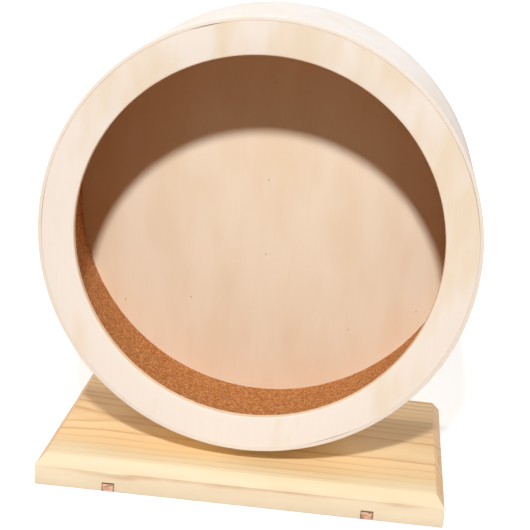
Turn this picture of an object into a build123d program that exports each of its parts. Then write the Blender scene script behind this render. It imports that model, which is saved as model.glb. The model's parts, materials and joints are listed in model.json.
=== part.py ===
from build123d import *
import math
import os

# A wooden exercise wheel for a small animal. A plywood drum lined with cork turns on an axle
# bolt, which runs in a ball bearing let into an upright on a bevelled pine base.
# The origin is on the floor under the middle of the base, +Y points to the back, +Z up.

# Drum: a band bent round a front ring and a back disc
wheel_radius = 150.0
band_thickness = 2.5
band_depth = 115.0
ring_lip = 25.0             # from the drum's outside in to the opening
ring_thickness = 5.0
disc_thickness = 10.0
cork_thickness = 4.0
opening_ease = 1.0          # sanded corner round the opening
glue_line = 0.1             # left between round pieces that are glued together
sheet_joint = 0.4           # left where the two ends of a bent sheet meet
band_scarf_angle = 60.0     # the band's ends are cut this far off square
band_joint_at = 235.0       # degrees round the drum, from +X towards the top
cork_joint_at = 60.0

# Base board, with two battens let into its underside
base_width = 284.0
base_thickness = 22.0
front_overhang = 22.0       # base in front of the drum's face
rear_margin = 12.4          # base behind the upright
bevel_width = 6.2
bevel_drop = 7.5
wheel_gap = 10.0            # air between the drum and the base
batten_width = 7.9
batten_height = 5.9
batten_inset = 52.0         # from the base's end to the batten's middle
batten_gap = 0.3

# Upright behind the drum
upright_thickness = 18.0
upright_foot_width = 150.0
upright_foot_height = 20.0
upright_head_radius = 42.0
upright_ease = 1.5
axle_hole_radius = 7.0      # through the wood behind the bearing
upright_screw_inset = 25.0  # from the foot's end to the screw
upright_screw_length = 50.0
upright_screw_radius = 2.0

# Hub block glued and screwed to the back of the disc
hub_radius = 35.0
hub_thickness = 10.0
hub_screw_count = 3
hub_screw_circle = 25.0     # radius of the circle of screws
hub_screw_radius = 1.75
hub_screw_cover = 4.0       # disc left in front of the screws' ends

# Wood screws, with flat heads
screw_head_ratio = 2.0      # head to shank
screw_head_height = 2.4
screw_recess = 0.6          # head of an upright screw below the base's underside
wood_fit = 0.05             # round a screw in its hole

# Axle bolt and its nuts
axle_radius = 4.0
axle_fit = 0.02             # round the axle in whatever sits on it
hex_flats = 13.0
bolt_head_height = 5.3
head_pocket_gap = 0.1
washer_radius = 8.0
washer_thickness = 1.6
washer_hole_gap = 0.2
hub_nut_height = 4.0
lock_nut_height = 8.0
bolt_end_past_nut = 2.0
sleeve_wall = 1.5
lock_nut_clear = 0.5        # air between the lock nut and the upright

# Ball bearing
bearing_radius = 11.0
bearing_seat_fit = 0.02
ball_radius = 1.985
ball_count = 7
ball_sides = 8              # sealed out of sight, each ball is cut with flat sides
ball_clearance = 0.1
groove_depth = 0.5          # of the track that the balls run in, in each race
cage_wall = 1.3
cage_rim = 0.4
cage_side_gap = 0.415
shield_thickness = 0.35
shield_lip_gap = 0.25
inner_race_proud = 0.25     # past the shields on each side, so that the nut clears them

overcut = 2.0               # a cutter is this many times as long as what it cuts

# Places that follow from the sizes above
axle_height = base_thickness + wheel_gap + wheel_radius
band_inner_radius = wheel_radius - band_thickness
lined_radius = band_inner_radius - glue_line    # ring, disc and cork all reach out to here
opening_radius = wheel_radius - ring_lip
cork_inner_radius = lined_radius - cork_thickness

ball_pocket = ball_radius + ball_clearance
cage_width = 2 * (ball_pocket + cage_rim)
bearing_width = cage_width + 2 * (cage_side_gap + shield_thickness + inner_race_proud)
pitch_radius = (axle_radius + bearing_radius) / 2
land_reach = ball_pocket - groove_depth
groove_half_width = math.sqrt(ball_pocket ** 2 - land_reach ** 2)

axle_stack = [band_depth, hub_thickness, washer_thickness, hub_nut_height, upright_thickness]
base_depth = front_overhang + sum(axle_stack) + rear_margin
drum_front = front_overhang - base_depth / 2
disc_back = drum_front + band_depth
disc_front = disc_back - disc_thickness
hub_back = disc_back + hub_thickness
washer_back = hub_back + washer_thickness
upright_front = washer_back + hub_nut_height
upright_back = upright_front + upright_thickness
upright_middle = (upright_front + upright_back) / 2
lock_nut_front = upright_back + lock_nut_clear
bolt_end = lock_nut_front + lock_nut_height + bolt_end_past_nut
hub_screw_length = screw_head_height + hub_thickness + disc_thickness - hub_screw_cover


def on_axle(shape, y):
    """Lays a shape built along Z on the axle's line, with its start at y and its end behind."""
    return Pos(0, y, axle_height) * Rot(X=-90) * shape


def tube(outer_radius, inner_radius, length):
    return extrude(Circle(outer_radius) - Circle(inner_radius), length)


def rod(radius, length):
    return extrude(Circle(radius), length)


def hex_prism(flats, height):
    return extrude(RegularPolygon(flats / 2, 6, major_radius=False), height)


def turned(points):
    """A solid turned about Z from an outline of (radius, height) points."""
    return revolve(Plane.XZ * make_face(Polyline(*points, close=True)), Axis.Z)


def wood_screw(shank, length, room=0.0):
    """A screw that points along +Z from the top of its head. With room it is the screw's hole."""
    top = -screw_recess if room else 0.0
    head = Pos(0, 0, top) * rod(shank * screw_head_ratio + room, screw_head_height - top)
    return head + rod(shank + room, length + room)


def sheet_gap(radius, thickness, depth, at, slant):
    """The narrow gap between the two ends of a sheet bent round the drum."""
    slanted_thickness = thickness / math.cos(math.radians(slant))
    cutter = Box(sheet_joint, overcut * slanted_thickness, overcut * depth)
    return Rot(Z=-at) * Pos(radius, 0, 0) * Rot(Z=90 + slant) * cutter


# Drum
def front_ring():
    ring = tube(lined_radius, opening_radius, ring_thickness)
    opening_edge = ring.edges().filter_by(GeomType.CIRCLE).sort_by(Axis.Z)[:2].sort_by(SortBy.RADIUS)[0]
    return on_axle(chamfer(opening_edge, opening_ease), drum_front)


def drum_band():
    band = tube(wheel_radius, band_inner_radius, band_depth)
    middle = (wheel_radius + band_inner_radius) / 2
    band -= sheet_gap(middle, band_thickness, band_depth, band_joint_at, band_scarf_angle)
    return on_axle(band, drum_front)


def cork_lining():
    start = drum_front + ring_thickness
    length = disc_front - start
    lining = tube(lined_radius, cork_inner_radius, length)
    middle = (lined_radius + cork_inner_radius) / 2
    lining -= sheet_gap(middle, cork_thickness, length, cork_joint_at, 0)
    return on_axle(lining, start)


def hub_screw_places(screw):
    """The hub's screws go in from behind, with their heads left on the face of the block."""
    driven = Pos(0, 0, hub_back + screw_head_height) * Rot(X=180) * screw
    ring = [Rot(Z=360 / hub_screw_count * i) * Pos(hub_screw_circle, 0, 0) * driven
            for i in range(hub_screw_count)]
    return [on_axle(one, 0) for one in ring]


def back_disc():
    disc = on_axle(rod(lined_radius, disc_thickness), disc_front)
    for hole in hub_screw_places(rod(hub_screw_radius + wood_fit, hub_screw_length + wood_fit)):
        disc -= hole
    return disc


def hub_block():
    block = rod(hub_radius, hub_thickness)
    block -= hex_prism(hex_flats + 2 * head_pocket_gap, bolt_head_height)
    block -= rod(axle_radius + head_pocket_gap, hub_thickness)
    block = on_axle(block, disc_back)
    for hole in hub_screw_places(rod(hub_screw_radius + wood_fit, hub_screw_length + wood_fit)):
        block -= hole
    return block


def hub_screws():
    return hub_screw_places(wood_screw(hub_screw_radius, hub_screw_length))


# Axle: the bolt's head is shut in between the disc and the hub block
def axle_bolt():
    head = hex_prism(hex_flats, bolt_head_height)
    return on_axle(head + rod(axle_radius, bolt_end - disc_back), disc_back)


def hub_washer():
    bore = axle_radius + washer_hole_gap
    return on_axle(tube(washer_radius, bore, washer_thickness), hub_back)


def hex_nut(height, y):
    return on_axle(hex_prism(hex_flats, height) - rod(axle_radius + axle_fit, height), y)


def axle_sleeve():
    """Fills the axle from the bearing's inner race to the lock nut."""
    start = upright_front + bearing_width
    bore = axle_radius + axle_fit
    return on_axle(tube(bore + sleeve_wall, bore, lock_nut_front - start), start)


# Bearing: both races have a track for the balls at the middle of their width
def inner_race():
    bore, land = axle_radius + axle_fit, pitch_radius - land_reach
    track = land - groove_depth
    low, high = bearing_width / 2 - groove_half_width, bearing_width / 2 + groove_half_width
    race = turned([
        (bore, 0), (land, 0), (land, low), (track, low), (track, high), (land, high),
        (land, bearing_width), (bore, bearing_width),
    ])
    return on_axle(race, upright_front)


def outer_race():
    """The outer race with its two shields, which are crimped into it and reach to the inner race."""
    land = pitch_radius + land_reach
    track, lip = land + groove_depth, pitch_radius - land_reach + shield_lip_gap
    start, end = inner_race_proud, bearing_width - inner_race_proud
    inside, far_inside = start + shield_thickness, end - shield_thickness
    low, high = bearing_width / 2 - groove_half_width, bearing_width / 2 + groove_half_width
    race = turned([
        (bearing_radius, start), (lip, start), (lip, inside), (land, inside),
        (land, low), (track, low), (track, high), (land, high),
        (land, far_inside), (lip, far_inside), (lip, end), (bearing_radius, end),
    ])
    return on_axle(race, upright_front)


def around_pitch(shape):
    """Copies of a shape at the balls' places."""
    step = 360 / ball_count
    return [Rot(Z=step * i) * Pos(pitch_radius, 0, bearing_width / 2) * shape
            for i in range(ball_count)]


def bearing_balls():
    """Prisms with bevelled ends, whose corners lie on the balls' real surface."""
    half_side = math.pi / ball_sides
    girth = ball_radius * math.cos(half_side)
    ball = extrude(RegularPolygon(girth, ball_sides), girth, both=True)
    layers = ball.faces().sort_by(Axis.Z)
    ends = layers[0].edges() + layers[-1].edges()
    ball = chamfer(ends, girth - ball_radius * math.sin(half_side))
    return [on_axle(one, upright_front) for one in around_pitch(ball)]


def bearing_cage():
    """A band with two flats to each ball and a square pocket round it."""
    side_count = 2 * ball_count
    outer = RegularPolygon(pitch_radius + cage_wall / 2, side_count)
    inner = RegularPolygon(pitch_radius - cage_wall / 2, side_count)
    cage = Pos(0, 0, (bearing_width - cage_width) / 2) * extrude(outer - inner, cage_width)
    for pocket in around_pitch(Box(overcut * cage_wall, 2 * ball_pocket, 2 * ball_pocket)):
        cage -= pocket
    return on_axle(cage, upright_front)


# Stand
def base_board():
    board = extrude(Rectangle(base_width, base_depth), base_thickness)
    top = board.faces().sort_by(Axis.Z)[-1]
    board = chamfer(top.edges(), bevel_width, bevel_drop, reference=top)
    groove = Box(batten_width + 2 * batten_gap, base_depth, batten_height + batten_gap,
                 align=(Align.CENTER, Align.CENTER, Align.MIN))
    for x in batten_places():
        board -= Pos(x, 0, 0) * groove
    for hole in upright_screw_places(wood_fit):
        board -= hole
    return board


def batten_places():
    x = base_width / 2 - batten_inset
    return [-x, x]


def base_batten(x):
    return Pos(x, 0, 0) * Box(batten_width, base_depth, batten_height,
                              align=(Align.CENTER, Align.CENTER, Align.MIN))


def upright_screw_places(room=0.0):
    reach = upright_foot_width / 2 - upright_screw_inset
    screw = wood_screw(upright_screw_radius, upright_screw_length, room)
    return [Pos(x, upright_middle, screw_recess) * screw for x in (-reach, reach)]


def upright():
    head = Pos(0, axle_height) * Circle(upright_head_radius)
    foot = Pos(0, base_thickness + upright_foot_height / 2) * Rectangle(
        upright_foot_width, upright_foot_height)
    outline = make_hull(head.edges() + foot.edges())
    board = Pos(0, upright_back, 0) * extrude(Plane.XZ * outline, upright_thickness)
    eased = [e for face in (board.faces().sort_by(Axis.Y)[0], board.faces().sort_by(Axis.Y)[-1])
             for e in face.edges() if e.center().Z > base_thickness + upright_ease]
    board = chamfer(eased, upright_ease)
    seat = rod(bearing_radius + bearing_seat_fit, bearing_width - inner_race_proud)
    board -= on_axle(seat, upright_front)
    board -= on_axle(rod(axle_hole_radius, upright_thickness), upright_front)
    for hole in upright_screw_places(wood_fit):
        board -= hole
    return board


def save(node, shape):
    """One file for each piece; fasteners of one kind share a file as separate solids."""
    solids = shape if isinstance(shape, list) else [shape]
    whole = Compound(solids) if len(solids) > 1 else solids[0]
    export_step(whole, f"parts/{node}.step")


def build():
    os.makedirs("parts", exist_ok=True)
    save("front_ring", front_ring())
    save("drum_band", drum_band())
    save("cork_lining", cork_lining())
    save("back_disc", back_disc())
    save("hub_block", hub_block())
    save("hub_screws", hub_screws())
    save("axle_bolt", axle_bolt())
    save("hub_washer", hub_washer())
    save("hub_nut", hex_nut(hub_nut_height, washer_back))
    save("axle_sleeve", axle_sleeve())
    save("lock_nut", hex_nut(lock_nut_height, lock_nut_front))
    save("bearing_inner_race", inner_race())
    save("bearing_outer_race", outer_race())
    save("bearing_balls", bearing_balls())
    save("bearing_cage", bearing_cage())
    save("base_board", base_board())
    for side, x in zip(("left", "right"), batten_places()):
        save(f"{side}_batten", base_batten(x))
    save("upright", upright())
    save("upright_screws", upright_screw_places())


build()
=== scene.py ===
import json
import math

import bmesh
import bpy
from mathutils import Matrix, Vector, noise


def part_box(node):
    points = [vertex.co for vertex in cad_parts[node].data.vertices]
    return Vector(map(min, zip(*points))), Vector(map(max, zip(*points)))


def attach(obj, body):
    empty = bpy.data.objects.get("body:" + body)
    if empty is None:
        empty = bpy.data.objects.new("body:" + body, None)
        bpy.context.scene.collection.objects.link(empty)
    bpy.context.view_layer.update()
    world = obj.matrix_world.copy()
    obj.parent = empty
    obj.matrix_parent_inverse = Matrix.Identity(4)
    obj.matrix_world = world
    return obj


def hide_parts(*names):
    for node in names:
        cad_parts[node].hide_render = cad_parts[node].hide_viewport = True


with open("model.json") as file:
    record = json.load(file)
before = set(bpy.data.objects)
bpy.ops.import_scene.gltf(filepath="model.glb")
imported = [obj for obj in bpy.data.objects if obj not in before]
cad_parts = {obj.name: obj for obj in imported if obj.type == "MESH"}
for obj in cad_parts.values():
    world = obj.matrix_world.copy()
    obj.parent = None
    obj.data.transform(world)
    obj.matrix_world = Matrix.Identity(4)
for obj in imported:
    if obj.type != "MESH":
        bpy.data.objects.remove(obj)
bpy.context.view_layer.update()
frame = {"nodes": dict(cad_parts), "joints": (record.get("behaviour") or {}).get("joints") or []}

# A wooden exercise wheel: a plywood drum lined with cork, hung on a pine stand by a bolt that
# turns in a ball bearing. Lengths are in millimetres; finishPiece turns a piece's to metres.
metre = 0.001
print("frame loaded,", len(frame["nodes"]), "pieces")


# lowest and highest value of a CAD node along x, y or z, in mm
def span(node, axis):
    low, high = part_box(node)
    return low["xyz".index(axis)] / metre, high["xyz".index(axis)] / metre


axleHeight = frame["joints"][0]["pos_m"][2] / metre
wheelRadius = round(span("drum_band", "x")[1], 1)
drumFront, drumBack = span("drum_band", "y")


# Mesh tools
mergeWithin = 0.0005
cutWithin = 0.0001
smoothUnder = 32


def shapeCentre(centre=None):
    return Vector((0, 0, axleHeight)) if centre is None else Vector(centre)


# turns (radius, y) points about a line along y; with an arc under 360 both ends are capped
def turn(outline, steps, arc=360.0, start=0.0, lean=0.0, closed=True, centre=None):
    bm = bmesh.new()
    middle = sum(radius for radius, y in outline) / len(outline)
    corners = []
    for radius, y in outline:
        angle = math.radians(start)
        if lean:
            angle += (radius - middle) * math.tan(math.radians(lean)) / middle
        out = Vector((radius * math.cos(angle), y, radius * math.sin(angle)))
        corners.append(bm.verts.new(shapeCentre(centre) + out))
    pairs = list(zip(corners, corners[1:]))
    if closed:
        pairs.append((corners[-1], corners[0]))
    edges = [bm.edges.new(pair) for pair in pairs]
    bmesh.ops.spin(bm, geom=corners + edges, cent=shapeCentre(centre), axis=(0, -1, 0),
                   angle=math.radians(arc), steps=steps, use_merge=arc == 360)
    bmesh.ops.remove_doubles(bm, verts=bm.verts, dist=mergeWithin)
    if arc < 360:
        bmesh.ops.holes_fill(bm, edges=[e for e in bm.edges if e.is_boundary], sides=0)
    bmesh.ops.recalc_face_normals(bm, faces=bm.faces)
    return bm


# rounds the sharp edges that pick lets through
def ease(bm, width, segments=3, pick=lambda edge: True, sharpFrom=35):
    sharp = [e for e in bm.edges if len(e.link_faces) == 2 and pick(e)
             and e.calc_face_angle() > math.radians(sharpFrom)]
    bmesh.ops.bevel(bm, geom=sharp, offset=width, offset_type="OFFSET", affect="EDGES",
                    segments=segments, profile=0.5, material=-1, clamp_overlap=True)


# saws off what lies outside a plane and closes the cut
def saw(bm, point, normal):
    cut = bmesh.ops.bisect_plane(bm, geom=bm.verts[:] + bm.edges[:] + bm.faces[:],
                                 dist=cutWithin, plane_co=point, plane_no=normal,
                                 clear_outer=True)
    edges = [g for g in cut["geom_cut"] if isinstance(g, bmesh.types.BMEdge)]
    bmesh.ops.holes_fill(bm, edges=edges, sides=0)


def block(size, centre):
    bm = bmesh.new()
    bmesh.ops.create_cube(bm, size=1.0)
    bmesh.ops.scale(bm, vec=size, verts=bm.verts)
    bmesh.ops.translate(bm, vec=centre, verts=bm.verts)
    return bm


def joined(parts):
    whole = bmesh.new()
    for part in parts:
        mesh = bpy.data.meshes.new("part")
        part.to_mesh(mesh)
        part.free()
        whole.from_mesh(mesh)
        bpy.data.meshes.remove(mesh)
    return whole


# takes the cutter out of the work and hands back what is left
def carve(work, cutter):
    pair = []
    for part in (work, cutter):
        mesh = bpy.data.meshes.new("carving")
        part.to_mesh(mesh)
        part.free()
        pair.append(bpy.data.objects.new("carving", mesh))
        bpy.context.scene.collection.objects.link(pair[-1])
    modifier = pair[0].modifiers.new("carve", "BOOLEAN")
    modifier.operation, modifier.solver, modifier.object = "DIFFERENCE", "EXACT", pair[1]
    left = bmesh.new()
    left.from_object(pair[0], bpy.context.evaluated_depsgraph_get())
    for item in pair:
        bpy.data.meshes.remove(item.data)
    return left


def finishPiece(bm, name, material, body, slot, *stands):
    bmesh.ops.recalc_face_normals(bm, faces=bm.faces)
    bmesh.ops.scale(bm, vec=(metre, metre, metre), verts=bm.verts)
    mesh = bpy.data.meshes.new(name)
    bm.to_mesh(mesh)
    bm.free()
    mesh.shade_smooth()
    mesh.set_sharp_from_angle(angle=math.radians(smoothUnder))
    mesh.materials.append(material)
    piece = bpy.data.objects.new(name, mesh)
    bpy.context.scene.collection.objects.link(piece)
    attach(piece, body)
    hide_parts(*stands)


# Material tools

# an sRGB hex colour turned to the linear values that a shader takes
def colour(code):
    parts = [int(code[i:i + 2], 16) / 255 for i in (1, 3, 5)]
    return [p / 12.92 if p <= 0.04045 else ((p + 0.055) / 1.055) ** 2.4 for p in parts] + [1.0]


# adds a node with its settings; an input is a value or another node's output
def add(tree, kind, inputs=None, stops=None, **settings):
    node = tree.nodes.new(kind)
    for name, value in settings.items():
        setattr(node, name, value)
    for key, value in (inputs or {}).items():
        if isinstance(value, bpy.types.NodeSocket):
            tree.links.new(value, node.inputs[key])
        else:
            node.inputs[key].default_value = value
    if stops:
        elements = node.color_ramp.elements
        while len(elements) < len(stops):
            elements.new(0.5)
        for element, (position, code) in zip(elements, stops):
            element.position, element.color = position, colour(code)
    return node


# a new material with its shader and object coordinates in mm, centred on a point and turned
def startMaterial(name, centre=(0, 0, 0), turned=(0, 0, 0), **shader):
    material = bpy.data.materials.new(name)
    material.use_nodes = True
    tree = material.node_tree
    tree.nodes.clear()
    bsdf = add(tree, "ShaderNodeBsdfPrincipled", shader)
    add(tree, "ShaderNodeOutputMaterial", {"Surface": bsdf.outputs[0]})
    place = add(tree, "ShaderNodeTexCoord").outputs["Object"]
    centred = add(tree, "ShaderNodeMapping", {
        "Vector": place, "Location": [-c * metre for c in centre]}).outputs[0]
    inMm = add(tree, "ShaderNodeMapping", {
        "Vector": centred, "Rotation": [math.radians(a) for a in turned],
        "Scale": (1 / metre, 1 / metre, 1 / metre)}).outputs[0]
    return material, tree, bsdf, inMm


# wires the colour and the relief into the shader; strength and depth in mm are the relief's
def finishMaterial(tree, bsdf, shown, height, strength, depth):
    bump = add(tree, "ShaderNodeBump", {
        "Height": height, "Strength": strength, "Distance": depth * metre})
    tree.links.new(shown, bsdf.inputs["Base Color"])
    tree.links.new(bump.outputs[0], bsdf.inputs["Normal"])


# a wood's figure: noise of the given x, y and z sizes in mm
def figure(tree, place, sizes, detail, roughness, turned=0.0):
    stretched = add(tree, "ShaderNodeMapping", {
        "Vector": place, "Rotation": (0, math.radians(turned), 0),
        "Scale": [1 / size for size in sizes]}).outputs[0]
    return add(tree, "ShaderNodeTexNoise", {
        "Vector": stretched, "Scale": 1.0, "Detail": detail,
        "Roughness": roughness}).outputs["Fac"]


# what most of a noise's values lie between
noiseRange = {"From Min": 0.3, "From Max": 0.7}
print("tools ready")


# Base board and upright: planed pine, which shows pale spring wood with soft brown lines of
# summer wood. The growth rings are cylinders round the trunk's heart, so the lines turn down
# over each bevel. Tints run across the width; front is the tint of faces that look forward
# or back. On the board, front is lighter than the tints: painted light that brightens its
# front and back faces. Lines grow from the first strength to the second between linesFrom
# and linesTo.
pineLook = {
    "board": {
        "summer": "#BC8442", "end": "#D9AE80", "front": "#FFF4D8", "heart": (-17, -14),
        "width": 183.0, "lines": (0.5, 1.5), "tints": [
            (0.0, "#EFDFC0"), (0.07, "#EAD8B2"), (0.16, "#ECCF9F"), (0.27, "#EFD0A0"),
            (0.4, "#EBD0A2"), (0.54, "#DFBF8E"), (1.0, "#E4C798")]},
    "upright": {
        "summer": "#D3A062", "end": "#D9AE80", "front": "#FBE3BC", "heart": (60, -40),
        "width": 150.0, "lines": (0.8, 0.8), "tints": [
            (0.0, "#FBE3BC"), (0.3, "#F7D6A2"), (0.55, "#FBE4C0"), (0.8, "#F5D3A0"),
            (1.0, "#FAE0B8")]},
    "ringWidth": 7.6, "phase": 0.75, "rise": 0.012, "bend": 2.6, "bendFrom": -104.0,
    "bendTo": -142.0, "waves": [(130, 34, 6.5), (30, 9, 2.2)], "patch": (80, 24, 24),
    "ringTones": [(0.0, "#3A3A3A"), (0.12, "#000000"), (0.42, "#101010"), (0.72, "#808080"),
                  (0.88, "#FFFFFF"), (1.0, "#4A4A4A")],
    "strength": (0.3, 0.85), "patchStrength": (0.4, 1.0), "linesFrom": -60.0,
    "linesTo": 20.0, "endLines": 1.5, "frontLines": 1.4, "endFrom": 0.35, "endTo": 0.75,
    "frontFrom": 0.8, "frontTo": 0.95, "browned": 0.5, "tintDrift": 30.0, "unevenness": 0.45,
    "topShade": 0.99, "frontShade": 1.005, "roughness": 0.5, "relief": 0.25, "depth": 0.021,
}


def makePine(name, look, endsAlong, centre=(0, 0, 0), turned=(0, 0, 0)):
    material, tree, bsdf, place = startMaterial(
        name, centre, turned, Roughness=pineLook["roughness"])
    # distance from the heart of the trunk, which the board was sawn beside
    heart = look["heart"]
    fromHeart = add(tree, "ShaderNodeMapping", {
        "Vector": place, "Location": (0, -heart[0], -heart[1]),
        "Scale": (0, 1, 1)}).outputs[0]
    distance = add(tree, "ShaderNodeVectorMath", {0: fromHeart},
                   operation="LENGTH").outputs["Value"]
    parts = add(tree, "ShaderNodeSeparateXYZ", {0: place})
    waved = add(tree, "ShaderNodeMath", {
        0: parts.outputs["X"], 1: pineLook["rise"], 2: distance},
        operation="MULTIPLY_ADD").outputs[0]
    # the trunk bends away at one end, which closes the lines into a pointed arch there
    bend = add(tree, "ShaderNodeMapRange", {
        "Value": parts.outputs["X"], "From Min": pineLook["bendFrom"],
        "From Max": pineLook["bendTo"], "To Min": 0.0, "To Max": -pineLook["bend"]}).outputs[0]
    waved = add(tree, "ShaderNodeMath", {0: waved, 1: bend}, operation="ADD").outputs[0]
    for length, across, size in pineLook["waves"]:
        wave = figure(tree, place, (length, across, across), 2.0, pineLook["unevenness"])
        waved = add(tree, "ShaderNodeMath", {0: wave, 1: size, 2: waved},
                    operation="MULTIPLY_ADD").outputs[0]
    rings = add(tree, "ShaderNodeMath", {
        0: waved, 1: 1 / pineLook["ringWidth"], 2: pineLook["phase"]},
        operation="MULTIPLY_ADD").outputs[0]
    within = add(tree, "ShaderNodeMath", {0: rings}, operation="FRACT").outputs[0]
    summer = add(tree, "ShaderNodeValToRGB", {"Fac": within},
                 stops=pineLook["ringTones"]).outputs[0]
    # each ring has its own strength, and fades in patches
    number = add(tree, "ShaderNodeMath", {0: rings}, operation="FLOOR").outputs[0]
    chance = add(tree, "ShaderNodeTexWhiteNoise", {"W": number},
                 noise_dimensions="1D").outputs["Value"]
    strength = add(tree, "ShaderNodeMapRange", {
        "Value": chance, "To Min": pineLook["strength"][0],
        "To Max": pineLook["strength"][1]}).outputs[0]
    patches = figure(tree, place, pineLook["patch"], 1.0, pineLook["unevenness"])
    patched = add(tree, "ShaderNodeMapRange", {
        "Value": patches, **noiseRange, "To Min": pineLook["patchStrength"][0],
        "To Max": pineLook["patchStrength"][1]}).outputs[0]
    amount = add(tree, "ShaderNodeMath", {0: strength, 1: patched},
                 operation="MULTIPLY").outputs[0]
    amount = add(tree, "ShaderNodeMath", {0: amount, 1: summer},
                 operation="MULTIPLY").outputs[0]
    # the lines are stronger towards the back, on the sawn ends and on the front face
    normal = add(tree, "ShaderNodeNewGeometry").outputs["True Normal"]
    facing = add(tree, "ShaderNodeVectorMath", {0: normal}, operation="ABSOLUTE").outputs["Vector"]
    facing = add(tree, "ShaderNodeSeparateXYZ", {0: facing})
    atEnd = add(tree, "ShaderNodeMapRange", {
        "Value": facing.outputs[endsAlong], "From Min": pineLook["endFrom"],
        "From Max": pineLook["endTo"]}).outputs[0]
    atFront = add(tree, "ShaderNodeMapRange", {
        "Value": facing.outputs["Y"], "From Min": pineLook["frontFrom"],
        "From Max": pineLook["frontTo"]}).outputs[0]
    weight = add(tree, "ShaderNodeMapRange", {
        "Value": parts.outputs["Y"], "From Min": pineLook["linesFrom"],
        "From Max": pineLook["linesTo"], "To Min": look["lines"][0],
        "To Max": look["lines"][1]}).outputs[0]
    for where, lift in ((atEnd, pineLook["endLines"]), (atFront, pineLook["frontLines"])):
        lifted = add(tree, "ShaderNodeMath", {0: where, 1: lift},
                     operation="MULTIPLY").outputs[0]
        weight = add(tree, "ShaderNodeMath", {0: weight, 1: lifted},
                     operation="MAXIMUM").outputs[0]
    amount = add(tree, "ShaderNodeMath", {0: amount, 1: weight},
                 operation="MULTIPLY").outputs[0]
    # the tints drift a little to and fro along the board
    half, drift = look["width"] / 2, pineLook["tintDrift"]
    drifted = add(tree, "ShaderNodeMath", {0: patches, 1: drift, 2: parts.outputs["Y"]},
                  operation="MULTIPLY_ADD").outputs[0]
    across = add(tree, "ShaderNodeMapRange", {
        "Value": drifted, "From Min": drift / 2 - half, "From Max": drift / 2 + half}).outputs[0]
    tint = add(tree, "ShaderNodeValToRGB", {"Fac": across}, stops=look["tints"]).outputs[0]
    # painted light on the board: its faces that look forward or back take the lighter front tint
    tint = add(tree, "ShaderNodeMix", {
        "Factor": atFront, "A": tint, "B": colour(look["front"])},
        data_type="RGBA").outputs["Result"]
    lined = add(tree, "ShaderNodeMix", {
        "Factor": amount, "A": tint, "B": colour(look["summer"])},
        data_type="RGBA").outputs["Result"]
    # sawn ends drink in more light and look browner
    browned = add(tree, "ShaderNodeMath", {0: atEnd, 1: pineLook["browned"]},
                  operation="MULTIPLY").outputs[0]
    lined = add(tree, "ShaderNodeMix", {
        "Factor": browned, "A": lined, "B": colour(look["end"])},
        data_type="RGBA").outputs["Result"]
    shade = add(tree, "ShaderNodeMapRange", {
        "Value": atFront, "To Min": pineLook["topShade"],
        "To Max": pineLook["frontShade"]}).outputs[0]
    shaded = add(tree, "ShaderNodeVectorMath", {0: lined, "Scale": shade},
                 operation="SCALE").outputs[0]
    finishMaterial(tree, bsdf, shaded, amount, pineLook["relief"], pineLook["depth"])
    return material


# Plywood: basswood veneer, sanded and bare, so its face is smooth and pale with a faint
# upright grain, and its edge shows thin plies with a darker line of glue between them.
# The face turns to its tinge where the clouds pass tingeFrom; drift adds to them per mm.
plyLook = {
    "ring": {"face": "#F7F1E9", "tinge": "#F1E4CE", "edge": "#FFE9CC", "glue": "#DFA56E",
             "tingeFrom": 0.46, "drift": (0.0004, 0, 0.0007)},
    "disc": {"face": "#EEDFC9", "tinge": "#EAD7BC", "edge": "#EBCB9F", "glue": "#B98A55",
             "tingeFrom": 0.38, "drift": (0, 0, 0)},
    "band": {"face": "#FAF8F8", "tinge": "#F6F2EC", "edge": "#F4ECE2", "glue": "#EDDFCB",
             "tingeFrom": 0.38, "drift": (0, 0, 0)},
    "flat": {"grain": (1.1, 1.1, 30.0), "cloud": (26, 26, 70), "edgeFrom": 0.85, "edgeTo": 0.45},
    "bent": {"grain": (1.1, 30.0, 1.1), "cloud": (28, 60, 28), "edgeFrom": 0.45, "edgeTo": 0.85},
    "tingeTo": 0.66, "grainShade": (0.985, 1.01), "speckApart": 24, "speckFrom": 0.018,
    "speckTo": 0.034, "speckShade": 0.55, "glueShare": 0.09, "roughness": 0.62,
    "relief": 0.2, "depth": 0.04,
}


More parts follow.
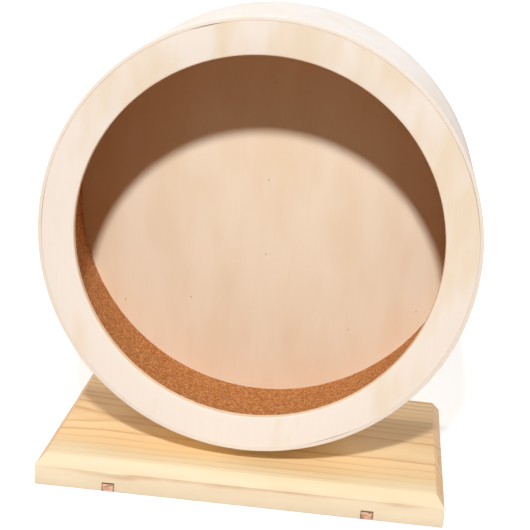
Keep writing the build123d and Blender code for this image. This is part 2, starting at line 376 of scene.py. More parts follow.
# plies lie between start and end, along y for a flat panel or out from the axle for the band
def makePlywood(name, look, start, end, plies, bent=False):
    material, tree, bsdf, place = startMaterial(
        name, (0, 0, axleHeight), Roughness=plyLook["roughness"])
    shape = plyLook["bent" if bent else "flat"]
    grain = figure(tree, place, shape["grain"], 4.0, 0.6)
    cloud = figure(tree, place, shape["cloud"], 2.0, 0.5)
    drift = add(tree, "ShaderNodeVectorMath", {0: place, 1: look["drift"]},
                operation="DOT_PRODUCT").outputs["Value"]
    drifted = add(tree, "ShaderNodeMath", {0: cloud, 1: drift}, operation="ADD").outputs[0]
    tinge = add(tree, "ShaderNodeMapRange", {
        "Value": drifted, "From Min": look["tingeFrom"],
        "From Max": plyLook["tingeTo"]}).outputs[0]
    face = add(tree, "ShaderNodeMix", {
        "Factor": tinge, "A": colour(look["face"]), "B": colour(look["tinge"])},
        data_type="RGBA").outputs["Result"]
    shade = add(tree, "ShaderNodeMapRange", {
        "Value": grain, **noiseRange, "To Min": plyLook["grainShade"][0],
        "To Max": plyLook["grainShade"][1]}).outputs[0]
    shaded = add(tree, "ShaderNodeVectorMath", {0: face, "Scale": shade},
                 operation="SCALE").outputs[0]
    # a few pin specks in the veneer, under a millimetre across
    cells = add(tree, "ShaderNodeTexVoronoi", {"Vector": place, "Scale": 1 / plyLook["speckApart"]})
    offSpeck = add(tree, "ShaderNodeMapRange", {
        "Value": cells.outputs["Distance"], "From Min": plyLook["speckFrom"],
        "From Max": plyLook["speckTo"]}).outputs[0]
    speckShade = add(tree, "ShaderNodeMapRange", {
        "Value": offSpeck, "To Min": plyLook["speckShade"], "To Max": 1.0}).outputs[0]
    speckled = add(tree, "ShaderNodeVectorMath", {0: shaded, "Scale": speckShade},
                   operation="SCALE").outputs[0]
    # how far through the plies a point on the edge lies
    if bent:
        sideways = add(tree, "ShaderNodeMapping", {
            "Vector": place, "Scale": (1, 0, 1)}).outputs[0]
        depth = add(tree, "ShaderNodeVectorMath", {0: sideways},
                    operation="LENGTH").outputs["Value"]
    else:
        depth = add(tree, "ShaderNodeSeparateXYZ", {0: place}).outputs["Y"]
    through = add(tree, "ShaderNodeMapRange", {
        "Value": depth, "From Min": start, "From Max": end, "To Max": plies},
        clamp=False).outputs[0]
    ply = add(tree, "ShaderNodeMath", {0: through}, operation="FRACT").outputs[0]
    share = plyLook["glueShare"]
    glue = add(tree, "ShaderNodeValToRGB", {"Fac": ply}, stops=[
        (0.0, "#FFFFFF"), (share, "#000000"), (1 - share, "#000000"),
        (1.0, "#FFFFFF")]).outputs[0]
    edge = add(tree, "ShaderNodeMix", {
        "Factor": glue, "A": colour(look["edge"]), "B": colour(look["glue"])},
        data_type="RGBA").outputs["Result"]
    normal = add(tree, "ShaderNodeNewGeometry").outputs["True Normal"]
    facing = add(tree, "ShaderNodeSeparateXYZ", {0: normal}).outputs["Y"]
    facing = add(tree, "ShaderNodeMath", {0: facing}, operation="ABSOLUTE").outputs[0]
    onEdge = add(tree, "ShaderNodeMapRange", {
        "Value": facing, "From Min": shape["edgeFrom"], "From Max": shape["edgeTo"]}).outputs[0]
    mixed = add(tree, "ShaderNodeMix", {"Factor": onEdge, "A": speckled, "B": edge},
                data_type="RGBA").outputs["Result"]
    finishMaterial(tree, bsdf, mixed, grain, plyLook["relief"], plyLook["depth"])
    return material


# Pressed cork sheet: bark granules of about a millimetre held in a dark binder, matt
corkLook = {
    "tones": [(0.0, "#A5602C"), (0.3, "#BE773D"), (0.6, "#CB8547"), (0.85, "#D69654"),
              (1.0, "#E3AE72")],
    "granule": 1.25, "rimFrom": 0.3, "rimTo": 0.75, "rimShade": 0.78, "crumb": 0.5,
    "crumbShade": (0.86, 1.1), "roughness": 0.85, "relief": 0.7, "depth": 0.35,
}


def makeCork():
    material, tree, bsdf, place = startMaterial(
        "pressedCork", (0, 0, axleHeight), Roughness=corkLook["roughness"])
    granules = add(tree, "ShaderNodeTexVoronoi", {
        "Vector": place, "Scale": 1 / corkLook["granule"], "Randomness": 1.0})
    chance = add(tree, "ShaderNodeSeparateColor", {0: granules.outputs["Color"]}).outputs[0]
    tone = add(tree, "ShaderNodeValToRGB", {"Fac": chance}, stops=corkLook["tones"]).outputs[0]
    rims = add(tree, "ShaderNodeMapRange", {
        "Value": granules.outputs["Distance"], "From Min": corkLook["rimFrom"],
        "From Max": corkLook["rimTo"], "To Min": 1.0,
        "To Max": corkLook["rimShade"]}).outputs[0]
    crumbs = add(tree, "ShaderNodeTexNoise", {
        "Vector": place, "Scale": 1 / corkLook["crumb"], "Detail": 3.0}).outputs["Fac"]
    crumbShade = add(tree, "ShaderNodeMapRange", {
        "Value": crumbs, **noiseRange, "To Min": corkLook["crumbShade"][0],
        "To Max": corkLook["crumbShade"][1]}).outputs[0]
    shade = add(tree, "ShaderNodeMath", {0: rims, 1: crumbShade},
                operation="MULTIPLY").outputs[0]
    shaded = add(tree, "ShaderNodeVectorMath", {0: tone, "Scale": shade},
                 operation="SCALE").outputs[0]
    height = add(tree, "ShaderNodeMath", {0: rims, 1: crumbs}, operation="MULTIPLY").outputs[0]
    finishMaterial(tree, bsdf, shaded, height, corkLook["relief"], corkLook["depth"])
    return material


# Steel: turned or rolled, then zinc plated or ground, with fine marks in its shine
steelLook = {"mark": 0.25, "cloud": 5.0, "roughShares": (0.7, 1.3), "markShade": (0.85, 1.08),
             "relief": 0.15, "depth": 0.02}


def makeSteel(name, code, roughness):
    material, tree, bsdf, place = startMaterial(name, (0, 0, axleHeight), Metallic=1.0)
    marks = add(tree, "ShaderNodeTexNoise", {
        "Vector": place, "Scale": 1 / steelLook["mark"], "Detail": 4.0}).outputs["Fac"]
    clouds = add(tree, "ShaderNodeTexNoise", {
        "Vector": place, "Scale": 1 / steelLook["cloud"], "Detail": 2.0}).outputs["Fac"]
    rough = add(tree, "ShaderNodeMapRange", {
        "Value": clouds, "To Min": roughness * steelLook["roughShares"][0],
        "To Max": roughness * steelLook["roughShares"][1]}).outputs[0]
    shade = add(tree, "ShaderNodeMapRange", {
        "Value": marks, "To Min": steelLook["markShade"][0],
        "To Max": steelLook["markShade"][1]}).outputs[0]
    shaded = add(tree, "ShaderNodeVectorMath", {0: colour(code)[:3], "Scale": shade},
                 operation="SCALE").outputs[0]
    tree.links.new(rough, bsdf.inputs["Roughness"])
    finishMaterial(tree, bsdf, shaded, marks, steelLook["relief"], steelLook["depth"])
    return material


# Nylon insert of the lock nut: moulded, slightly waxy
nylonLook = {"tones": [(0.35, "#E4E2D8"), (0.65, "#F1EFE6")], "cloud": 1.25, "roughness": 0.38}


def makeNylon():
    material, tree, bsdf, place = startMaterial(
        "mouldedNylon", (0, 0, axleHeight), Roughness=nylonLook["roughness"])
    clouds = add(tree, "ShaderNodeTexNoise", {
        "Vector": place, "Scale": 1 / nylonLook["cloud"], "Detail": 3.0}).outputs["Fac"]
    tone = add(tree, "ShaderNodeValToRGB", {"Fac": clouds}, stops=nylonLook["tones"]).outputs[0]
    tree.links.new(tone, bsdf.inputs["Base Color"])
    return material


# Battens: reddish hardwood, sawn, with slanting streaks on its end grain, and a dark line of
# painted shade along its top and sides, where it meets the groove
battenLook = {
    "tones": [(0.37, "#96654F"), (0.46, "#DDA88C"), (0.53, "#F6D2BC")], "streak": (6, 30, 1.5),
    "line": "#6B4A30", "lineWidth": 0.75, "lineBlur": 0.2, "sideGapShade": 0.5,
    "roughness": 0.7, "relief": 0.5, "depth": 0.2,
}


def makeHardwood(centre, width, height, turned):
    material, tree, bsdf, place = startMaterial(
        "sawnHardwood", (centre, 0, 0), Roughness=battenLook["roughness"])
    streak = figure(tree, place, battenLook["streak"], 3.0, 0.65, turned)
    tone = add(tree, "ShaderNodeValToRGB", {"Fac": streak},
               stops=battenLook["tones"]).outputs[0]
    parts = add(tree, "ShaderNodeSeparateXYZ", {0: place})
    beside = add(tree, "ShaderNodeMath", {0: parts.outputs["X"]},
                 operation="ABSOLUTE").outputs[0]
    # painted shade: the batten darkens in a band along its top and, half as much, along its sides,
    # where the gap to the groove lies in shade
    sideGapShade, topGapShade = [add(tree, "ShaderNodeMapRange", {
        "Value": value, "From Min": limit - battenLook["lineWidth"] - battenLook["lineBlur"],
        "From Max": limit - battenLook["lineWidth"] + battenLook["lineBlur"]}).outputs[0]
        for value, limit in ((beside, width / 2), (parts.outputs["Z"], height))]
    sideGapShade = add(tree, "ShaderNodeMath", {0: sideGapShade, 1: battenLook["sideGapShade"]},
                   operation="MULTIPLY").outputs[0]
    lines = add(tree, "ShaderNodeMath", {0: sideGapShade, 1: topGapShade},
                operation="MAXIMUM").outputs[0]
    mixed = add(tree, "ShaderNodeMix", {
        "Factor": lines, "A": tone, "B": colour(battenLook["line"])},
        data_type="RGBA").outputs["Result"]
    finishMaterial(tree, bsdf, mixed, streak, battenLook["relief"], battenLook["depth"])
    return material


basePine = makePine("planedPine", pineLook["board"], "X", turned=(0, 0, 1.5))
uprightPine = makePine("uprightPine", pineLook["upright"], "Z",
                       (0, span("upright", "y")[0], axleHeight), (0, 90, 0))
zincSteel = makeSteel("zincPlatedSteel", "#C9CCCB", 0.3)
bearingSteel = makeSteel("groundSteel", "#C6C8CC", 0.18)
cageSteel = makeSteel("pressedSteel", "#B8AD9A", 0.35)
cork = makeCork()
nylon = makeNylon()
ringPly = makePlywood("basswoodPlyRing", plyLook["ring"], *span("front_ring", "y"), 3)
discPly = makePlywood("basswoodPlyDisc", plyLook["disc"], *span("back_disc", "y"), 5)
hubPly = makePlywood("basswoodPlyHub", plyLook["disc"], *span("hub_block", "y"), 5)
print("materials made")


# Drum
drum = {"lip": 25.0, "bandThickness": 2.5, "glueLine": 0.1, "corkThickness": 4.0, "steps": 288,
        "openingRound": 1.1, "edgeRound": 0.3, "joinRound": 0.05, "scarfAngle": 60.0,
        "bandJoint": 235.0, "corkJoint": 60.0, "jointGap": 0.4}
insideBand = wheelRadius - drum["bandThickness"]
panelRadius = insideBand - drum["glueLine"]
openingRadius = wheelRadius - drum["lip"]
corkInside = panelRadius - drum["corkThickness"]
bandPly = makePlywood("basswoodPlyBand", plyLook["band"], insideBand, wheelRadius, 3, bent=True)

# where the ring's edge stands off the band: middle and half width in degrees, depth in mm
openGlue = [(106.7, 5.5, 0.42), (-65.5, 8.5, 0.5), (178.0, 14.0, 0.12), (20.0, 18.0, 0.1)]

# how near a vertex has to be to count as lying on a wall or a face
onWall = 1.0
onFace = 0.1


def outFromAxle(vert):
    return math.hypot(vert.co.x, vert.co.z - axleHeight)


def makeRing():
    front, back = span("front_ring", "y")
    bm = turn([(openingRadius, front), (panelRadius, front), (panelRadius, back),
               (openingRadius, back)], drum["steps"])
    ease(bm, drum["openingRound"], 4, lambda e: all(
        outFromAxle(v) < openingRadius + onWall and v.co.y < front + onFace for v in e.verts))
    ease(bm, drum["joinRound"], 1, lambda e: all(
        outFromAxle(v) > panelRadius - onWall or v.co.y > back - onFace for v in e.verts))
    for vert in bm.verts:
        radius = outFromAxle(vert)
        if radius < panelRadius - onWall:
            continue
        angle = math.degrees(math.atan2(vert.co.z - axleHeight, vert.co.x))
        for middle, half, depth in openGlue:
            away = abs((angle - middle + 180) % 360 - 180) / half
            if away < 1:
                shrink = 1 - depth * (1 - away ** 2) ** 2 / radius
                vert.co.x *= shrink
                vert.co.z = axleHeight + (vert.co.z - axleHeight) * shrink
    finishPiece(bm, "front_ring_face", ringPly, "wheel", "ring_plywood", "front_ring")


def makeBand():
    gap = math.degrees(
        drum["jointGap"] / math.cos(math.radians(drum["scarfAngle"])) / wheelRadius)
    bm = turn([(insideBand, drumFront), (wheelRadius, drumFront), (wheelRadius, drumBack),
               (insideBand, drumBack)], drum["steps"], arc=360 - gap,
              start=drum["bandJoint"] + gap / 2, lean=drum["scarfAngle"])
    ease(bm, drum["edgeRound"], 3, lambda e: all(
        outFromAxle(v) > wheelRadius - onFace for v in e.verts))
    ease(bm, drum["joinRound"], 1, lambda e: all(
        outFromAxle(v) < insideBand + onFace for v in e.verts))
    finishPiece(bm, "drum_band_sheet", bandPly, "wheel", "band_plywood", "drum_band")


corkGrid = {"rows": 44, "columns": 360, "dimple": 0.22, "dimpleWidth": 3.2}


def makeCorkLining():
    front, back = span("cork_lining", "y")
    gap = math.degrees(drum["jointGap"] / corkInside)
    rows = corkGrid["rows"]
    inner = [(corkInside, back + (front - back) * i / rows) for i in range(rows + 1)]
    bm = turn([(panelRadius, front), (panelRadius, back)] + inner, corkGrid["columns"],
              arc=360 - gap, start=drum["corkJoint"] + gap / 2)
    # the sheet is a little uneven to the touch
    for vert in bm.verts:
        if outFromAxle(vert) < corkInside + onFace and front < vert.co.y < back:
            swell = noise.noise(vert.co / corkGrid["dimpleWidth"])
            lift = corkGrid["dimple"] * (swell - 0.5) / 2
            away = Vector((vert.co.x, 0, vert.co.z - axleHeight)).normalized()
            vert.co -= away * lift
    finishPiece(bm, "cork_running_surface", cork, "wheel", "cork", "cork_lining")


def makeDisc():
    front, back = span("back_disc", "y")
    bm = turn([(0, front), (panelRadius, front), (panelRadius, back), (0, back)],
              drum["steps"], closed=False)
    ease(bm, drum["edgeRound"], 2)
    finishPiece(bm, "back_disc_panel", discPly, "wheel", "disc_plywood", "back_disc")


makeRing()
makeBand()
makeCorkLining()
makeDisc()
print("drum made")


# Hub, axle and bearing
hub = {"edgeRound": 1.2, "boltHole": 4.1, "steps": 128, "screwCircle": 25.0, "screwCount": 3,
       "screwHead": 3.5, "screwShank": 1.75, "screwHeadHeight": 2.4}
steelEdge = 0.25
steelSteps = 96


def makeHubBlock():
    front, back = span("hub_block", "y")
    radius = span("hub_block", "x")[1]
    hole = hub["boltHole"]
    bm = turn([(hole, front), (radius, front), (radius, back), (hole, back)], hub["steps"])
    ease(bm, hub["edgeRound"], 4, lambda e: all(
        v.co.y > back - onFace and outFromAxle(v) > hole + onWall for v in e.verts))
    finishPiece(bm, "hub_block_round", hubPly, "wheel", "hub_plywood", "hub_block")


# shares of a screw's head; the crossed recess is recessDepth mm from top to bottom of its cut
screwForm = {"domeBrim": 0.25, "flatBrim": 0.35, "steps": 32, "recessLength": 1.15,
             "recessWidth": 0.26, "recessDepth": 1.7}


# a screw whose head faces +y at the top, with a crossed recess; its tip is at the end
def screw(head, shank, top, height, end, centre, flat=False):
    if flat:
        brim = screwForm["flatBrim"] * height
        outline = [(0, top), (head, top), (head, top - brim)]
    else:
        brim = screwForm["domeBrim"] * height
        outline = [(0, top), (head * 0.45, top - height * 0.06), (head * 0.8, top - height * 0.3),
                   (head, top - height + brim), (head, top - height)]
    outline += [(shank, top - height), (shank, end + shank), (0, end)]
    bm = turn(outline, screwForm["steps"], closed=False, centre=centre)
    long, wide = head * screwForm["recessLength"], head * screwForm["recessWidth"]
    for x, z in ((long, wide), (wide, long)):
        bm = carve(bm, block((x, screwForm["recessDepth"], z),
                             Vector(centre) + Vector((0, top, 0))))
    return bm


def makeHubScrews():
    end, top = span("hub_screws", "y")
    parts = []
    for i in range(hub["screwCount"]):
        angle = -2 * math.pi * i / hub["screwCount"]
        centre = (hub["screwCircle"] * math.cos(angle), 0,
                  axleHeight + hub["screwCircle"] * math.sin(angle))
        parts.append(screw(hub["screwHead"], hub["screwShank"], top, hub["screwHeadHeight"],
                           end, centre))
    finishPiece(joined(parts), "hub_screw_set", zincSteel, "wheel", "zinc_plated_steel",
                "hub_screws")


hexFlats = span("hub_nut", "z")[1] - span("hub_nut", "z")[0]
hexCorner = hexFlats / 2 / math.cos(math.radians(30))
bolt = {"radius": 4.0, "bore": 4.02, "pitch": 1.25, "threadDepth": 0.62, "threadLead": 2.0,
        "threadSteps": 40, "crest": (0.42, 0.54, 0.96), "crestPlay": 0.06, "headHeight": 5.3,
        "headSlope": 0.6, "shankSteps": 64, "washerBore": 4.2, "washerRadius": 8.0}
nut = {"boreSlope": 0.5, "cornerSlope": 0.55, "flatPlay": 0.1, "collarShare": 0.3,
       "collarRadius": 5.9}


# a hexagon is turned with its corners already bevelled, then six flats are sawn on it
def makeHexagon(outline):
    bm = turn(outline, steelSteps)
    for i in range(6):
        angle = math.radians(30 + 60 * i)
        normal = Vector((math.cos(angle), 0, math.sin(angle)))
        saw(bm, shapeCentre() + normal * hexFlats / 2, normal)
    return bm


def nutOutline(front, back):
    bore, slant, flat = bolt["bore"], nut["boreSlope"], hexFlats / 2 - nut["flatPlay"]
    slope = nut["cornerSlope"] * (hexCorner - hexFlats / 2)
    return [(bore, front + slant), (bore + slant, front), (flat, front),
            (hexCorner, front + slope), (hexCorner, back - slope), (flat, back),
            (bore + slant, back), (bore, back - slant)]


def makeHubNut():
    bm = makeHexagon(nutOutline(*span("hub_nut", "y")))
    finishPiece(bm, "hub_nut_thin", zincSteel, "wheel", "zinc_plated_steel", "hub_nut")


# the collar's rim is rolled over the insert
def makeLockNut():
    front, back = span("lock_nut", "y")
    neck = back - (back - front) * nut["collarShare"]
    rim, bore = nut["collarRadius"], bolt["bore"]
    collar = turn([(rim - 0.7, neck), (rim, neck), (rim, back - 0.9), (rim - 0.35, back - 0.25),
                   (rim - 0.9, back), (rim - 1.0, back - 0.3), (rim - 0.7, back - 0.6)],
                  steelSteps)
    finishPiece(joined([makeHexagon(nutOutline(front, neck)), collar]), "lock_nut_steel",
                zincSteel, "wheel", "zinc_plated_steel", "lock_nut")
    outside = rim - 0.75
    insert = turn([(bore, neck + 0.05), (outside, neck + 0.05), (outside, back - 0.35),
                   (outside - 0.4, back - 0.2), (bore + 0.3, back - 0.2), (bore, back - 0.5)],
                  steelSteps)
    finishPiece(insert, "lock_nut_insert", nylon, "wheel", "zinc_plated_steel")


# the bolt's core with a thread wound round its end as one unbroken ridge
def makeBolt():
    front, back = span("axle_bolt", "y")
    radius, depth, pitch = bolt["radius"], bolt["threadDepth"], bolt["pitch"]
    core, crest = radius - depth, radius - bolt["crestPlay"]
    headTop = span("hub_block", "y")[0] + bolt["headHeight"]
    threadStart = span("lock_nut", "y")[0] - bolt["threadLead"]
    shank = turn([(0, headTop - 0.1), (radius, headTop - 0.1), (radius, threadStart),
                  (core, threadStart + depth), (core, back - 0.3), (core - 0.6, back),
                  (0, back)], bolt["shankSteps"], closed=False)
    head = makeHexagon([(0.5, front), (hexFlats / 2 - nut["flatPlay"], front),
                        (hexCorner, front + bolt["headSlope"]), (hexCorner, headTop),
                        (0.5, headTop)])
    start = threadStart + depth
    turns = int((back - 0.5 - start) / pitch)
    foot, crestEnd, ridgeEnd = bolt["crest"]
    thread = bmesh.new()
    corners = [thread.verts.new((r, y, axleHeight)) for r, y in (
        (core - 0.1, start), (crest, start + pitch * foot), (crest, start + pitch * crestEnd),
        (core - 0.1, start + pitch * ridgeEnd))]
    steps = bolt["threadSteps"] * turns
    bmesh.ops.spin(thread, geom=[thread.faces.new(corners)], cent=shapeCentre(),
                   axis=(0, -1, 0), angle=2 * math.pi * turns, steps=steps,
                   dvec=(0, pitch * turns / steps, 0))
    bmesh.ops.remove_doubles(thread, verts=thread.verts, dist=mergeWithin)
    finishPiece(joined([shank, head, thread]), "axle_bolt_m8", zincSteel, "wheel",
                "zinc_plated_steel", "axle_bolt")


def makeWasher():
    front, back = span("hub_washer", "y")
    bore, radius = bolt["washerBore"], bolt["washerRadius"]
    bm = turn([(bore, front), (radius, front), (radius, back), (bore, back)], steelSteps)
    ease(bm, steelEdge, 2)
    finishPiece(bm, "hub_washer_flat", zincSteel, "wheel", "zinc_plated_steel", "hub_washer")


bearing = {"outer": 11.0, "outerWall": 1.5, "wallSlope": 0.3, "shieldStep": 0.35,
           "shieldThickness": 0.35, "lip": 6.2, "race": 5.9, "pitchRadius": 7.5,
           "ballRadius": 1.985, "balls": 7, "steps": 128}


def makeBearing():
    front, back = span("bearing_outer_race", "y")
    outer, lip = bearing["outer"], bearing["lip"]
    wall = outer - bearing["outerWall"]
    slant, step = bearing["wallSlope"], bearing["shieldStep"]
    inside = step + bearing["shieldThickness"]
    bm = turn([(outer, front), (wall, front), (wall - slant, front + step), (lip, front + step),
               (lip, front + inside), (wall, front + inside), (wall, back - inside),
               (lip, back - inside), (lip, back - step), (wall - slant, back - step),
               (wall, back), (outer, back)], bearing["steps"])
    ease(bm, steelEdge, 2, lambda e: all(outFromAxle(v) > outer - onFace for v in e.verts))
    finishPiece(bm, "bearing_outer_ring", bearingSteel, "stand", "bearing_steel",
                "bearing_outer_race")
    front, back = span("bearing_inner_race", "y")
    bore, race = bolt["bore"], bearing["race"]
    bm = turn([(bore, front), (race, front), (race, back), (bore, back)], steelSteps)
    ease(bm, steelEdge, 2)
    finishPiece(bm, "bearing_inner_ring", bearingSteel, "wheel", "bearing_steel",
                "bearing_inner_race")
    balls = bmesh.new()
    for i in range(bearing["balls"]):
        angle = -2 * math.pi * i / bearing["balls"]
        out = Vector((math.cos(angle), 0, math.sin(angle))) * bearing["pitchRadius"]
        place = shapeCentre() + out
        place.y = sum(span("bearing_balls", "y")) / 2
        bmesh.ops.create_uvsphere(balls, u_segments=24, v_segments=16,
                                  radius=bearing["ballRadius"],
                                  matrix=Matrix.Translation(place))
    finishPiece(balls, "bearing_ball_set", bearingSteel, "ball_cage", "bearing_steel",
                "bearing_balls")


makeHubBlock()
makeHubScrews()
makeWasher()
makeHubNut()
makeLockNut()
makeBolt()
makeBearing()
for node, steel in (("bearing_cage", cageSteel), ("axle_sleeve", zincSteel)):
    frame["nodes"][node].data.materials.clear()
    frame["nodes"][node].data.materials.append(steel)
print("hub, axle and bearing made")


# Stand
board = {"bevelWidth": 6.2, "bevelDrop": 7.5, "grooveGap": 0.35, "battenPlay": 0.1,
         "battenRound": 0.25, "arris": 0.45, "screwHole": 4.05, "screwRecess": 3.0,
         "screwAt": (-50.0, 50.0), "screwHead": 4.0, "screwShank": 2.0, "screwHeadHeight": 2.4}


# a board whose (x, z) outline is the same from front to back
def plank(outline, front, back):
    bm = bmesh.new()
    end = bm.faces.new([bm.verts.new((x, front, z)) for x, z in outline])
    grown = bmesh.ops.extrude_face_region(bm, geom=[end])["geom"]
    bmesh.ops.translate(bm, vec=(0, back - front, 0),
                        verts=[g for g in grown if isinstance(g, bmesh.types.BMVert)])
    bmesh.ops.recalc_face_normals(bm, faces=bm.faces)
    return bm


def makeBoard():
    left, right = span("base_board", "x")
    front, back = span("base_board", "y")
    top = span("base_board", "z")[1]
    gap = board["grooveGap"]
    outline = [(left, 0)]
    for node in ("left_batten", "right_batten"):
        low, high = span(node, "x")
        ceiling = span(node, "z")[1] + gap
        outline += [(low - gap, 0), (low - gap, ceiling), (high + gap, ceiling), (high + gap, 0)]
    outline += [(right, 0), (right, top), (left, top)]
    bm = plank(outline, front, back)
    slope = Vector((board["bevelDrop"], board["bevelWidth"])).normalized()
    drop = top - board["bevelDrop"]
    for point, out in (((left, 0), (-1, 0)), ((right, 0), (1, 0)), ((0, front), (0, -1)),
                       ((0, back), (0, 1))):
        saw(bm, (*point, drop), (out[0] * slope.x, out[1] * slope.x, slope.y))
    bmesh.ops.recalc_face_normals(bm, faces=bm.faces)
    ease(bm, board["arris"], 2, sharpFrom=20)
    middle = sum(span("upright", "y")) / 2
    for x in board["screwAt"]:
        hole = bmesh.new()
        bmesh.ops.create_cone(hole, cap_ends=True, segments=48, radius1=board["screwHole"],
                              radius2=board["screwHole"], depth=2 * board["screwRecess"],
                              matrix=Matrix.Translation((x, middle, 0)))
        bm = carve(bm, hole)
    finishPiece(bm, "base_board_planed", basePine, "stand", "base_pine", "base_board")


# each batten fills its groove; its streaks slant by their own angle
battens = {"left_batten": -14, "right_batten": -40}


def makeBatten(node, streakAngle):
    low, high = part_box(node)
    fill = board["grooveGap"] - board["battenPlay"]
    size = (high - low) / metre + Vector((2 * fill, 0, fill))
    centre = (low + high) / 2 / metre + Vector((0, 0, fill / 2))
    bm = block(size, centre)
    ease(bm, board["battenRound"], 2)
    hardwood = makeHardwood(centre.x, size.x, size.z, streakAngle)
    finishPiece(bm, node + "_sawn", hardwood, "stand", "batten_wood", node)


upright = {"headRadius": 42.0, "footHeight": 20.0, "edgeRound": 2.0, "seatRadius": 11.02,
           "seatDepth": 6.75, "holeRadius": 7.0, "headSteps": 64}


# the outline runs from the foot up a straight side, round the head and down again
def makeUpright():
    front, back = span("upright", "y")
    half = span("upright", "x")[1]
    foot = span("upright", "z")[0]
    shoulder = foot + upright["footHeight"]
    radius = upright["headRadius"]
    below = axleHeight - shoulder
    touch = math.acos(radius / math.hypot(half, below)) - math.atan2(below, half)
    outline = [(half, foot), (half, shoulder)]
    for i in range(upright["headSteps"] + 1):
        angle = touch + (math.pi - 2 * touch) * i / upright["headSteps"]
        outline.append((radius * math.cos(angle), axleHeight + radius * math.sin(angle)))
    outline += [(-half, shoulder), (-half, foot)]
    bm = plank(outline, front, back)
    ease(bm, upright["edgeRound"], 4, lambda e: all(v.co.z > foot + 0.5 for v in e.verts),
         sharpFrom=50)
    seat, hole = upright["seatRadius"], upright["holeRadius"]
    seatBack = front + upright["seatDepth"]
    bm = carve(bm, turn([(0, front - 1), (seat, front - 1), (seat, seatBack), (hole, seatBack),
                         (hole, back + 1), (0, back + 1)], steelSteps, closed=False))
    finishPiece(bm, "upright_board", uprightPine, "stand", "upright_pine", "upright")


def makeUprightScrews():
    low, high = span("upright_screws", "z")
    middle = sum(span("upright", "y")) / 2
    parts = []
    for x in board["screwAt"]:
        bm = screw(board["screwHead"], board["screwShank"], -low, board["screwHeadHeight"],
                   -high, (0, 0, 0), flat=True)
        bmesh.ops.rotate(bm, cent=(0, 0, 0), verts=bm.verts,
                         matrix=Matrix.Rotation(math.radians(-90), 3, "X"))
        bmesh.ops.translate(bm, vec=(x, middle, 0), verts=bm.verts)
        parts.append(bm)
    finishPiece(joined(parts), "upright_screw_pair", zincSteel, "stand", "zinc_plated_steel",
                "upright_screws")


makeBoard()
for node, streakAngle in battens.items():
    makeBatten(node, streakAngle)
makeUpright()
makeUprightScrews()
print("stand made")


# Floor, light and camera
studio = {"floorSize": 12000.0, "floorDrop": 0.1, "floorWhite": "#F4F4F4",
          "floorAround": "#9A7A5A", "floorRoughness": 0.9, "glow": "#DDF0FF",
          "glowNear": 0.32, "glowFar": 1.0, "nearEdge": 420.0, "farEdge": 1100.0,
          "fill": "#FFCE94", "fillStrength": 0.08}


# 1 for the rays that show the backdrop, whether straight, in metal or through glass
def backdropRays(tree):
    rays = add(tree, "ShaderNodeLightPath")
    seen = add(tree, "ShaderNodeMath", {
        0: rays.outputs["Is Camera Ray"], 1: rays.outputs["Is Glossy Ray"]},
        operation="MAXIMUM").outputs[0]
    return add(tree, "ShaderNodeMath", {0: seen, 1: rays.outputs["Is Transmission Ray"]},
               operation="MAXIMUM").outputs[0]


# the floor is white and keeps a pale shadow; the light that it throws back is weaker
def makeFloor():
    bm = bmesh.new()
    bmesh.ops.create_grid(bm, x_segments=1, y_segments=1, size=studio["floorSize"] * metre / 2)
    bmesh.ops.translate(bm, vec=(0, 0, -studio["floorDrop"] * metre), verts=bm.verts)
    mesh = bpy.data.meshes.new("floor")
    bm.to_mesh(mesh)
    bm.free()
    floor = bpy.data.objects.new("floor", mesh)
    bpy.context.scene.collection.objects.link(floor)
    material, tree, bsdf, place = startMaterial(
        "paintedFloor", Roughness=studio["floorRoughness"])
    seen = backdropRays(tree)
    paint = add(tree, "ShaderNodeMix", {
        "Factor": seen, "A": colour(studio["floorAround"]), "B": colour(studio["floorWhite"])},
        data_type="RGBA").outputs["Result"]
    away = add(tree, "ShaderNodeVectorMath", {0: place}, operation="LENGTH").outputs["Value"]
    glow = add(tree, "ShaderNodeMapRange", {
        "Value": away, "From Min": studio["nearEdge"], "From Max": studio["farEdge"],
        "To Min": studio["glowNear"], "To Max": studio["glowFar"]}).outputs[0]
    shown = add(tree, "ShaderNodeMath", {0: seen, 1: glow}, operation="MULTIPLY").outputs[0]
    bsdf.inputs["Emission Color"].default_value = colour(studio["glow"])
    tree.links.new(paint, bsdf.inputs["Base Color"])
    tree.links.new(shown, bsdf.inputs["Emission Strength"])
    mesh.materials.append(material)


def makeWorld():
    world = bpy.data.worlds.new("studio")
    world.use_nodes = True
    tree = world.node_tree
    tree.nodes.clear()
    fill = add(tree, "ShaderNodeBackground", {
        "Color": colour(studio["fill"]), "Strength": studio["fillStrength"]}).outputs[0]
    white = add(tree, "ShaderNodeBackground", {
        "Color": colour("#FFFFFF"), "Strength": 1.0}).outputs[0]
    mixed = add(tree, "ShaderNodeMixShader", {0: backdropRays(tree), 1: fill, 2: white})
    add(tree, "ShaderNodeOutputWorld", {"Surface": mixed.outputs[0]})
    bpy.context.scene.world = world


# each lamp: where it stands and aims, in mm, its size in mm, its power in watts and its tone
lamps = {
    "keyLamp": {"at": (6, -1409, 1195), "aim": (0, 0, 170), "size": 110, "power": 27.8,
                "tone": "#FFFFFF"},
    "topLamp": {"at": (60, 120, 1700), "aim": (0, 0, 170), "size": 450, "power": 6.5,
                "tone": "#FFFFFF"},
    "leftLamp": {"at": (-1500, 80, 650), "aim": (0, 0, 120), "size": 500, "power": 10.0,
                 "tone": "#FFE2BC"},
    "rightLamp": {"at": (1500, 300, 900), "aim": (0, 0, 120), "size": 700, "power": 3.5,
                  "tone": "#FFE2BC"},
    "backLamp": {"at": (400, 1600, 500), "aim": (0, 0, 170), "size": 600, "power": 17.0,
                 "tone": "#FFFFFF"},
}


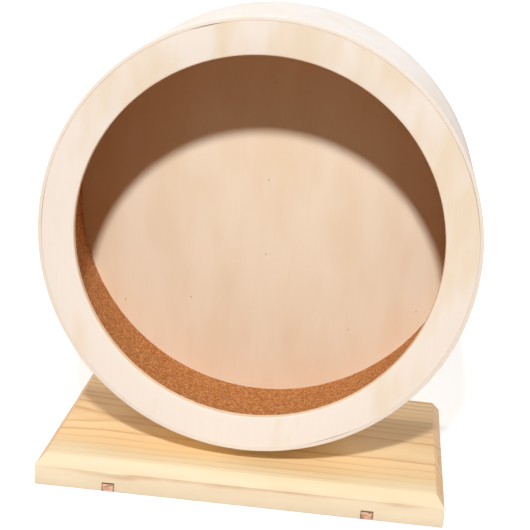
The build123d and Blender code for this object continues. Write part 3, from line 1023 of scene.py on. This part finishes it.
# a lamp that keeps its level across the object, so the near side isn't burnt out; only the
# key lamp shows in shiny surfaces
def makeLamp(name, plan):
    data = bpy.data.lights.new(name, "AREA")
    data.shape, data.size, data.energy = "DISK", plan["size"] * metre, plan["power"]
    place, aim = Vector(plan["at"]) * metre, Vector(plan["aim"]) * metre
    beam = aim - place
    data.use_nodes = True
    tree = data.node_tree
    tree.nodes.clear()
    level = add(tree, "ShaderNodeLightFalloff", {"Strength": 1 / beam.length_squared})
    emission = add(tree, "ShaderNodeEmission", {
        "Color": colour(plan["tone"]), "Strength": level.outputs["Constant"]})
    add(tree, "ShaderNodeOutputLight", {"Surface": emission.outputs[0]})
    lamp = bpy.data.objects.new(name, data)
    bpy.context.scene.collection.objects.link(lamp)
    turned = beam.to_track_quat("-Z", "Y").to_matrix().to_4x4()
    lamp.matrix_world = Matrix.Translation(place) @ turned
    lamp.visible_glossy = name == "keyLamp"


# the photograph's view: place in mm, turns in degrees, lens and sensor in mm, and how near
# and far it shows, in metres
view = {"at": (76.6, -946.8, 419.1), "yaw": 4.59, "pitch": 15.96, "roll": 4.17, "lens": 92.66,
        "sensor": 36.0, "near": 0.05, "far": 50.0}


def makeCamera():
    yaw, pitch, roll = (math.radians(view[key]) for key in ("yaw", "pitch", "roll"))
    forward = Vector((-math.sin(yaw) * math.cos(pitch), math.cos(yaw) * math.cos(pitch),
                      -math.sin(pitch)))
    level = Vector((math.cos(yaw), math.sin(yaw), 0))
    rising = level.cross(forward)
    right = math.cos(roll) * level + math.sin(roll) * rising
    up = math.cos(roll) * rising - math.sin(roll) * level
    data = bpy.data.cameras.new("photoView")
    data.lens, data.sensor_width = view["lens"], view["sensor"]
    data.clip_start, data.clip_end = view["near"], view["far"]
    camera = bpy.data.objects.new("photoView", data)
    bpy.context.scene.collection.objects.link(camera)
    turned = Matrix((right, up, -forward)).transposed().to_4x4()
    camera.matrix_world = Matrix.Translation(Vector(view["at"]) * metre) @ turned
    bpy.context.scene.camera = camera


makeFloor()
makeWorld()
for lampName, plan in lamps.items():
    makeLamp(lampName, plan)
makeCamera()
bpy.context.scene.view_settings.view_transform = "Standard"
print("floor, light and camera set")
